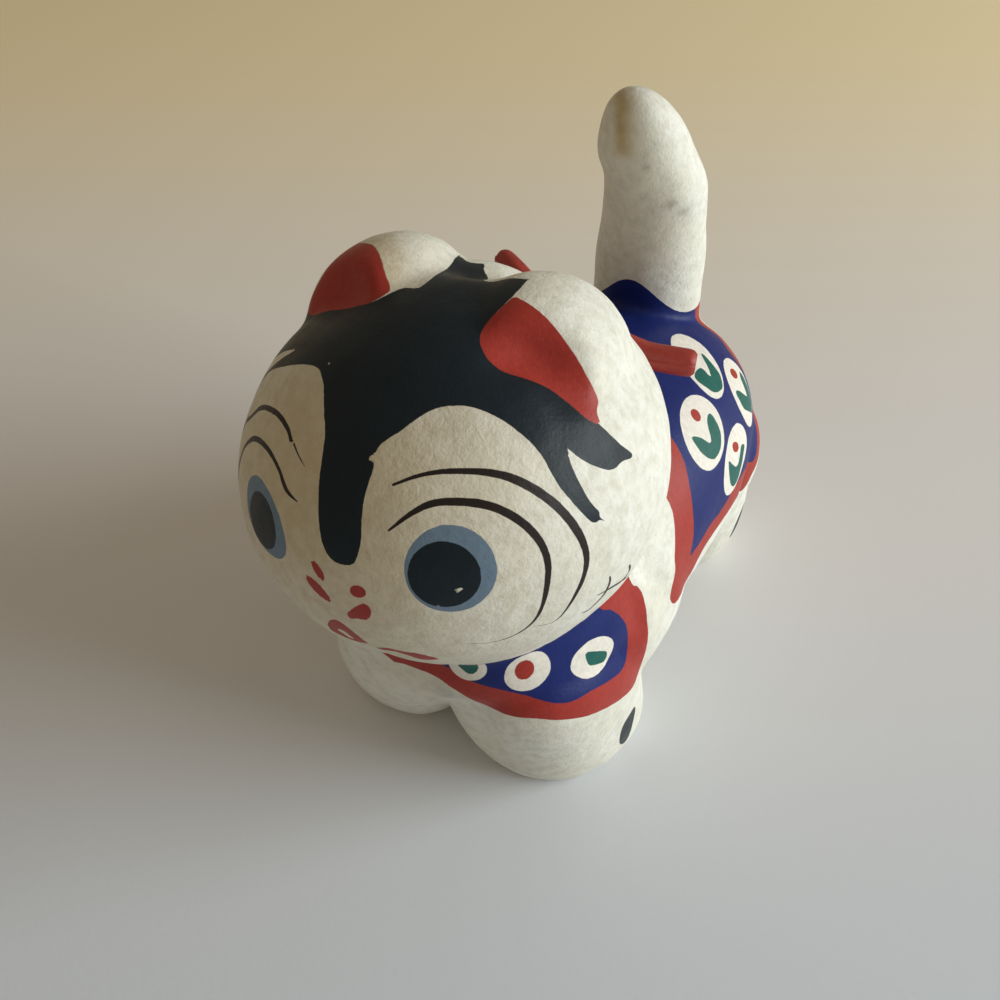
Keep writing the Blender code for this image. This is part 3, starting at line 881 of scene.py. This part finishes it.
def stains(places):
    """Soft marks of age, and a yellowed blot that also holds warm painted shade: each fades from its
    strength by exp(-(distance / spread)^2).
    """
    layers = {"warm": sum(strength * faded(line_distance(places, curve_through(path, 4)), spread)
                          for path, spread, strength in WARM_STAINS)}
    # One of these blots is partly warm painted shade on the face.
    for name, blots in (("patina", PATINA_AND_SHADE), ("grey", GREY_SMUDGES), ("blue_smudge", BLUE_SMUDGES)):
        layers[name] = sum(strength * faded(np.linalg.norm(places - middle, axis=1), spread)
                           for middle, spread, strength in blots)
    return layers


def write_layers(mesh, layers):
    """Store every layer on the mesh's points: one number each, or three for a stroke."""
    for name, values in layers.items():
        kind, field = ("FLOAT", "value") if values.ndim == 1 else ("FLOAT_VECTOR", "vector")
        layer = mesh.attributes.new(name, kind, "POINT")
        layer.data.foreach_set(field, values.astype(np.float32).ravel())


# ---------------------------------------------------------------- materials

class Recipe:
    """Builds one material's nodes.  The methods from maths to bump return a socket."""

    def __init__(self, name):
        self.material = bpy.data.materials.new(name)
        self.material.use_nodes = True
        self.tree = self.material.node_tree
        self.shader = self.tree.nodes["Principled BSDF"]
        self.place = self.node("TexCoord").outputs["Object"]

    def put(self, socket, value):
        """Link a socket to another one, or set its own value."""
        if isinstance(value, bpy.types.NodeSocket):
            self.tree.links.new(value, socket)
        else:
            socket.default_value = value

    def node(self, kind, inputs=None, **settings):
        """Add a node, set it up and fill its inputs by name or number."""
        made = self.tree.nodes.new("ShaderNode" + kind)
        for name, value in settings.items():
            setattr(made, name, value)
        for name, value in (inputs or {}).items():
            self.put(made.inputs[name], value)
        return made

    def maths(self, operation, *values):
        """Arithmetic on plain values or sockets."""
        return self.node("Math", dict(enumerate(values)), operation=operation).outputs[0]

    def mix(self, share, first, second):
        """The first colour at a share of 0, the second at 1."""
        return self.node("Mix", {0: share, 6: first, 7: second}, data_type="RGBA").outputs[2]

    def blend(self, share, first, second):
        """The first number at a share of 0, the second at 1."""
        return self.node("Mix", {0: share, 2: first, 3: second}, data_type="FLOAT").outputs[0]

    def ramp(self, value, low, high):
        """0 below low, 1 above high, and a smooth rise between them."""
        return self.node("MapRange", {"Value": value, "From Min": low, "From Max": high},
                         interpolation_type="SMOOTHSTEP").outputs[0]

    def grain(self, size, detail=2.0, rough=0.5, warp=0.0, stretch=None):
        """Noise from 0 to 1 whose lumps are about size millimetres across."""
        place = self.place
        if stretch:
            place = self.node("Mapping", {"Vector": place, "Scale": stretch}).outputs[0]
        inputs = {"Vector": place, "Scale": 1.0 / (size * MM), "Detail": detail,
                  "Roughness": rough, "Distortion": warp}
        return self.node("TexNoise", inputs).outputs[0]

    def specks(self, size, spread):
        """1 in the middle of scattered dots, 0 between them."""
        spots = self.node("TexVoronoi", {"Vector": self.place, "Scale": 1.0 / (spread * MM)})
        return self.ramp(spots.outputs["Distance"], size / spread, 0.5 * size / spread)

    def layer(self, name, output="Fac"):
        """A layer that is stored on the mesh's points."""
        return self.node("Attribute", attribute_name=name).outputs[output]

    def covered(self, name, wobble):
        """1 inside a painted area, 0 outside, with a wobbly brush edge."""
        inside = self.maths("ADD", self.layer(name), wobble)
        return self.ramp(inside, -BRUSH_SOFTNESS, BRUSH_SOFTNESS)

    def stroked(self, name, wobble):
        """1 inside a brush stroke, 0 outside: half its width less the way across, and wobble."""
        across, reach, half = self.node("SeparateXYZ", {0: self.layer(name, "Vector")}).outputs
        inside = self.maths("SUBTRACT", half, self.maths("ABSOLUTE", across))
        inside = self.maths("ADD", inside, wobble)
        return self.maths("MULTIPLY", self.ramp(inside, -BRUSH_SOFTNESS, BRUSH_SOFTNESS),
                          self.ramp(reach, -0.1, 0.1))

    def bump(self, height, depth, below=None):
        """Turn a height from 0 to 1 into relief of the given depth in millimetres."""
        inputs = {"Height": height, "Distance": depth * MM, "Strength": 1.0}
        if below:
            inputs["Normal"] = below
        return self.node("Bump", inputs).outputs[0]

    def finish(self, colour, roughness, normal, **values):
        """Connect the shader; each further value is a socket or a plain value."""
        self.put(self.shader.inputs["Base Color"], colour)
        self.put(self.shader.inputs["Roughness"], roughness)
        self.put(self.shader.inputs["Normal"], normal)
        for name, value in values.items():
            self.put(self.shader.inputs[name.replace("_", " ")], value)
        return self.material


def shaded(colour, factor):
    """A colour made lighter or darker, with its alpha."""
    return (*(min(1.0, part * factor) for part in colour), 1.0)


def painted_paper(paints):
    """The figure's finish: shell-white coat on paper, then each paint over the last."""
    recipe = Recipe("painted_paper")
    wobble = recipe.maths("MULTIPLY_ADD", recipe.grain(1.6, 3.0, 0.65), 0.9, -0.45)
    broad = recipe.grain(22.0, 3.0, 0.6)
    mottle = recipe.grain(2.4, 5.0, 0.65)
    fibre = recipe.grain(0.5, 4.0, 0.7, 0.6, (1.0, 1.0, 0.35))
    coat = recipe.mix(recipe.ramp(broad, 0.35, 0.7), shaded(paints.coat, 1.0),
                      shaded(paints.warm_coat, 1.0))
    coat = recipe.mix(recipe.ramp(mottle, 0.35, 0.75), coat, shaded(paints.warm_coat, 0.86))
    coat = recipe.mix(recipe.maths("MULTIPLY", recipe.ramp(fibre, 0.55, 0.8), 0.35), coat,
                      shaded(paints.grime, 1.6))
    coat = recipe.mix(recipe.maths("MULTIPLY", recipe.specks(0.16, 3.1), 0.45), coat,
                      shaded(paints.grime, 1.0))
    # One layer here is yellowing and warm painted shade on the face together; the rest are marks of
    # age.
    for name, tint, amount in (("patina", paints.stain_and_shade, 0.55), ("warm", paints.stain_and_shade, 0.7),
                               ("grey", paints.grime, 0.65), ("blue_smudge", paints.blue, 0.3)):
        share = recipe.maths("MULTIPLY", recipe.layer(name),
                             recipe.maths("MULTIPLY_ADD", mottle, 0.6 * amount, 0.7 * amount))
        coat = recipe.mix(recipe.maths("MINIMUM", share, 1.0), coat, shaded(tint, 1.0))
    colour, cover = coat, None
    rough = recipe.blend(mottle, 0.5, 0.66)
    # Each mark's layer, paint and mean roughness, in the order of painting.
    areas = (("black", paints.black, 0.42), ("red", paints.red, 0.42),
             ("blue", paints.blue, 0.45), ("disc", paints.white, 0.5), ("dot", paints.red, 0.42),
             ("green", paints.green, 0.45), ("ring", paints.ring, 0.45),
             ("pupil", paints.black, 0.32))
    lines = (("outer_brow", paints.ink, 0.4), ("inner_brow", paints.ink, 0.4),
             ("right_brows", paints.ink, 0.4), ("whiskers", paints.ink, 0.5),
             ("crossing", paints.ink, 0.5))
    streak = recipe.grain(1.1, 3.0, 0.6)
    for marks, edge, shake in ((areas, recipe.covered, 0.3), (lines, recipe.stroked, 0.22)):
        for name, tint, matt in marks:
            inside = edge(name, recipe.maths("MULTIPLY", wobble, shake))
            tone = recipe.mix(streak, shaded(tint, 0.8), shaded(tint, 1.2))
            colour = recipe.mix(inside, colour, tone)
            paint_rough = recipe.maths("MULTIPLY_ADD", mottle, 0.16, matt - 0.08)
            rough = recipe.blend(inside, rough, paint_rough)
            cover = inside if cover is None else recipe.maths("MAXIMUM", cover, inside)
    pebble = recipe.grain(0.9, 3.0, 0.55, 0.4)
    pebble = recipe.maths("MULTIPLY", pebble, recipe.blend(cover, 1.0, 0.45))
    skin = recipe.bump(pebble, 0.13)
    skin = recipe.bump(fibre, 0.03, skin)
    skin = recipe.bump(cover, 0.03, skin)
    return recipe.finish(colour, rough, skin,
                         Specular_IOR_Level=recipe.blend(cover, 0.32, 0.18))


def red_paper(paints):
    """The tie's finish: red brushed on a roll of paper."""
    recipe = Recipe("red_paper")
    mottle = recipe.grain(2.0, 4.0, 0.65)
    fibre = recipe.grain(0.5, 4.0, 0.7, 0.5)
    colour = recipe.mix(mottle, shaded(paints.red, 0.75), shaded(paints.red, 1.25))
    skin = recipe.bump(mottle, 0.15)
    skin = recipe.bump(fibre, 0.05, skin)
    return recipe.finish(colour, recipe.blend(mottle, 0.4, 0.6), skin, Specular_IOR_Level=0.45)


def floor_paper(stage):
    """Matt pale paper under the figure, warmer far behind it and cooler in front.

    Depth is the way along the camera's heading, past the figure's middle.
    """
    recipe = Recipe("floor_paper")
    grain = recipe.grain(1.2, 3.0, 0.6)
    heading = (0.0, 0.0, np.arctan2(CAMERA_VIEW[0], CAMERA_VIEW[1]))
    away = recipe.node("Mapping", {"Vector": recipe.place, "Rotation": heading}).outputs[0]
    depth = recipe.node("SeparateXYZ", {0: away}).outputs[1]
    colour = recipe.mix(recipe.ramp(depth, *FAR_SPAN), shaded(stage.floor_colour, 1.0),
                        shaded(stage.far_colour, 1.0))
    colour = recipe.mix(recipe.ramp(depth, *NEAR_SPAN), colour, shaded(stage.near_colour, 1.0))
    colour = recipe.mix(recipe.maths("MULTIPLY", grain, 0.03), colour, (0.0, 0.0, 0.0, 1.0))
    return recipe.finish(colour, 0.8, recipe.bump(grain, 0.02), Specular_IOR_Level=0.3)


# ---------------------------------------------------------------- settings

def colour_setting(name, description, default):
    """A colour that the user can change, as red, green and blue from 0 to 1."""
    return FloatVectorProperty(name=name, description=description, default=default, size=3,
                               min=0.0, max=1.0, subtype="COLOR")


class FigureSettings(bpy.types.PropertyGroup):
    """Fine sizes of the figure's skin."""
    cell: FloatProperty(
        name="Skin cell", description="Edge length of the skin's mesh",
        default=0.78 * MM, min=0.5 * MM, max=3.0 * MM, unit="LENGTH", precision=5)
    melt_rounds: IntProperty(
        name="Melt rounds", description="Rounds of smoothing that round off the joints",
        default=26, min=0, max=100)
    lump_height: FloatProperty(
        name="Lump height", description="Height of the broad hand-laid lumps",
        default=0.30 * MM, min=0.0, max=2.0 * MM, unit="LENGTH", precision=5)
    ripple_height: FloatProperty(
        name="Ripple height", description="Height of the small ripples of the paper",
        default=0.07 * MM, min=0.0, max=1.0 * MM, unit="LENGTH", precision=5)


class TieSettings(bpy.types.PropertyGroup):
    """Sizes of the rolled-paper collar tie."""
    sheet: FloatProperty(
        name="Sheet", description="Step of the paper's free edge along the roll",
        default=0.28 * MM, min=0.0, max=0.6 * MM, unit="LENGTH", precision=5)
    layers: FloatProperty(
        name="Layers", description="Turns of the sheet that show on a cut end",
        default=3.0, min=1.0, max=8.0)
    end_depth: FloatProperty(
        name="End relief", description="Depth of the spiral on the cut ends",
        default=0.35 * MM, min=0.0, max=1.0 * MM, unit="LENGTH", precision=5)


class PaintSettings(bpy.types.PropertyGroup):
    """Colours of the coat, the paints and the marks of age."""
    coat: colour_setting("Coat", "Shell-white ground coat", (0.80, 0.80, 0.73))
    warm_coat: colour_setting("Warm coat", "Ground coat where it has yellowed",
                              (0.74, 0.72, 0.61))
    grime: colour_setting("Grime", "Dirt and fibres in the coat", (0.22, 0.19, 0.15))
    # This yellow-brown also tints the warm painted shade on the face.
    stain_and_shade: colour_setting("Stain", "Yellow-brown stain", (0.50, 0.35, 0.13))
    black: colour_setting("Black", "Crown patch and pupils", (0.010, 0.017, 0.023))
    ink: colour_setting("Ink", "Brow lines and whiskers", (0.022, 0.016, 0.014))
    red: colour_setting("Red", "Ears, nose, mouth, borders and tie", (0.35, 0.038, 0.027))
    blue: colour_setting("Blue", "Apron and back cloth", (0.010, 0.020, 0.13))
    white: colour_setting("White", "Medallions", (0.78, 0.74, 0.66))
    green: colour_setting("Green", "Marks on the medallions", (0.016, 0.115, 0.092))
    ring: colour_setting("Ring", "Grey-blue round each pupil", (0.150, 0.215, 0.285))


class StageSettings(bpy.types.PropertyGroup):
    """Floor, lights and camera."""
    floor_size: FloatProperty(name="Floor size", description="Side of the square floor",
                              default=3.0, min=0.5, unit="LENGTH")
    floor_colour: colour_setting("Floor", "Pale floor round the figure", (0.84, 0.82, 0.81))
    far_colour: colour_setting("Far floor", "Floor far behind the figure", (0.96, 0.82, 0.53))
    near_colour: colour_setting("Near floor", "Floor in front of the figure", (0.72, 0.77, 0.84))
    lens: FloatProperty(name="Lens", description="Focal length", default=37.44, min=10.0,
                        unit="CAMERA")
    window_power: FloatProperty(name="Window", description="Power of the large soft light",
                                default=24.0, min=0.0, unit="POWER")
    fill_strength: FloatProperty(name="Fill", description="Strength of the light all round",
                                 default=0.28, min=0.0)


# ---------------------------------------------------------------- operators

def settings():
    """The scene's settings for this ornament."""
    return bpy.context.scene.paper_dog


class PAPERDOG_OT_figure(bpy.types.Operator):
    """Make the figure's painted shell"""
    bl_idname = "paperdog.figure"
    bl_label = "Figure"

    def execute(self, context):
        sizes = settings().figure
        mesh = melted(figure_forms(), sizes.cell, sizes.melt_rounds)
        places = read_points(mesh) / MM
        normals = read_points(mesh, "vertex_normals", "vector")
        layers = painted_layers(places) | stains(places)
        places += normals * hand_relief(places, sizes)[:, None]
        places[:, 2] = np.where(places[:, 2] < SOLE_REACH, 0.0, places[:, 2])
        places = fit_to_box(places, *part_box("figure"))
        mesh.vertices.foreach_set("co", (places * MM).astype(np.float32).ravel())
        write_layers(mesh, layers)
        mesh.name = "dog_figure"
        mesh.materials.clear()
        mesh.materials.append(painted_paper(settings().paints))
        mesh.shade_smooth()
        mesh.update()
        piece = bpy.data.objects.new("dog_figure", mesh)
        context.collection.objects.link(piece)
        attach(piece, "root")
        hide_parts("figure")
        return {"FINISHED"}


class PAPERDOG_OT_tie(bpy.types.Operator):
    """Make the rolled-paper tie on the nape"""
    bl_idname = "paperdog.tie"
    bl_label = "Collar tie"

    def execute(self, context):
        rings = rolled_sheet(settings().tie)
        piece = new_piece("rolled_tie", rings.reshape(-1, 3), closed_faces(*rings.shape[:2]),
                          red_paper(settings().paints))
        piece.data.set_sharp_from_angle(angle=radians(TIE_CREASE))
        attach(piece, "root")
        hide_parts("collar_tie")
        return {"FINISHED"}


class PAPERDOG_OT_stage(bpy.types.Operator):
    """Make the floor, the lights and the camera"""
    bl_idname = "paperdog.stage"
    bl_label = "Stage"

    def execute(self, context):
        stage = settings().stage
        half = stage.floor_size / 2.0 / MM
        corners = np.array([(-half, -half, 0), (half, -half, 0), (half, half, 0), (-half, half, 0)])
        floor = new_piece("floor", corners, [(0, 1, 2, 3)], floor_paper(stage))

        light = bpy.data.lights.new("window", "AREA")
        light.shape = "RECTANGLE"
        light.size, light.size_y = WINDOW_SIZE
        light.energy = stage.window_power
        light.color = WINDOW_COLOUR
        window = bpy.data.objects.new("window", light)
        window.location = WINDOW_PLACE
        view = Vector(WINDOW_AIM) - window.location
        window.rotation_euler = view.to_track_quat("-Z", "Y").to_euler()
        context.collection.objects.link(window)

        world = bpy.data.worlds.new("room")
        world.use_nodes = True
        sky = world.node_tree.nodes["Background"]
        sky.inputs["Color"].default_value = ROOM_COLOUR
        sky.inputs["Strength"].default_value = stage.fill_strength
        context.scene.world = world
        context.scene.view_settings.view_transform = "Standard"

        lens = bpy.data.cameras.new("camera")
        lens.lens = stage.lens
        lens.clip_start = 0.01
        camera = bpy.data.objects.new("camera", lens)
        camera.location = CAMERA_PLACE
        camera.rotation_euler = Vector(CAMERA_VIEW).to_track_quat("-Z", "Y").to_euler()
        context.collection.objects.link(camera)
        context.scene.camera = camera
        return {"FINISHED"}


class PAPERDOG_PT_panel(bpy.types.Panel):
    """Sidebar panel that lists the makers"""
    bl_idname = "PAPERDOG_PT_panel"
    bl_label = "Paper dog"
    bl_space_type = "VIEW_3D"
    bl_region_type = "UI"
    bl_category = "Paper dog"

    def draw(self, context):
        groups = context.scene.paper_dog
        for maker, group in ((PAPERDOG_OT_figure, groups.figure), (PAPERDOG_OT_tie, groups.tie),
                             (PAPERDOG_OT_stage, groups.stage)):
            box = self.layout.box()
            box.operator(maker.bl_idname)
            for name in group.__annotations__:
                box.prop(group, name)
        colours = self.layout.box()
        for name in groups.paints.__annotations__:
            colours.prop(groups.paints, name)


class DogSettings(bpy.types.PropertyGroup):
    """All the settings of the ornament and its stage."""
    figure: PointerProperty(type=FigureSettings, name="Figure", description="The shell")
    tie: PointerProperty(type=TieSettings, name="Tie", description="The collar tie")
    paints: PointerProperty(type=PaintSettings, name="Paints", description="The colours")
    stage: PointerProperty(type=StageSettings, name="Stage", description="Floor and lights")


CLASSES = (FigureSettings, TieSettings, PaintSettings, StageSettings, DogSettings,
           PAPERDOG_OT_figure, PAPERDOG_OT_tie, PAPERDOG_OT_stage, PAPERDOG_PT_panel)


def register():
    """Make the settings, the operators and the panel known."""
    for item in CLASSES:
        bpy.utils.register_class(item)
    bpy.types.Scene.paper_dog = PointerProperty(type=DogSettings, name="Paper dog",
                                                description="Settings of the ornament")


def unregister():
    """Take back what register made known."""
    del bpy.types.Scene.paper_dog
    for item in reversed(CLASSES):
        bpy.utils.unregister_class(item)


def main():
    """Make every piece and the stage."""
    register()
    bpy.ops.paperdog.figure()
    bpy.ops.paperdog.tie()
    bpy.ops.paperdog.stage()


if __name__ == "__main__":
    main()
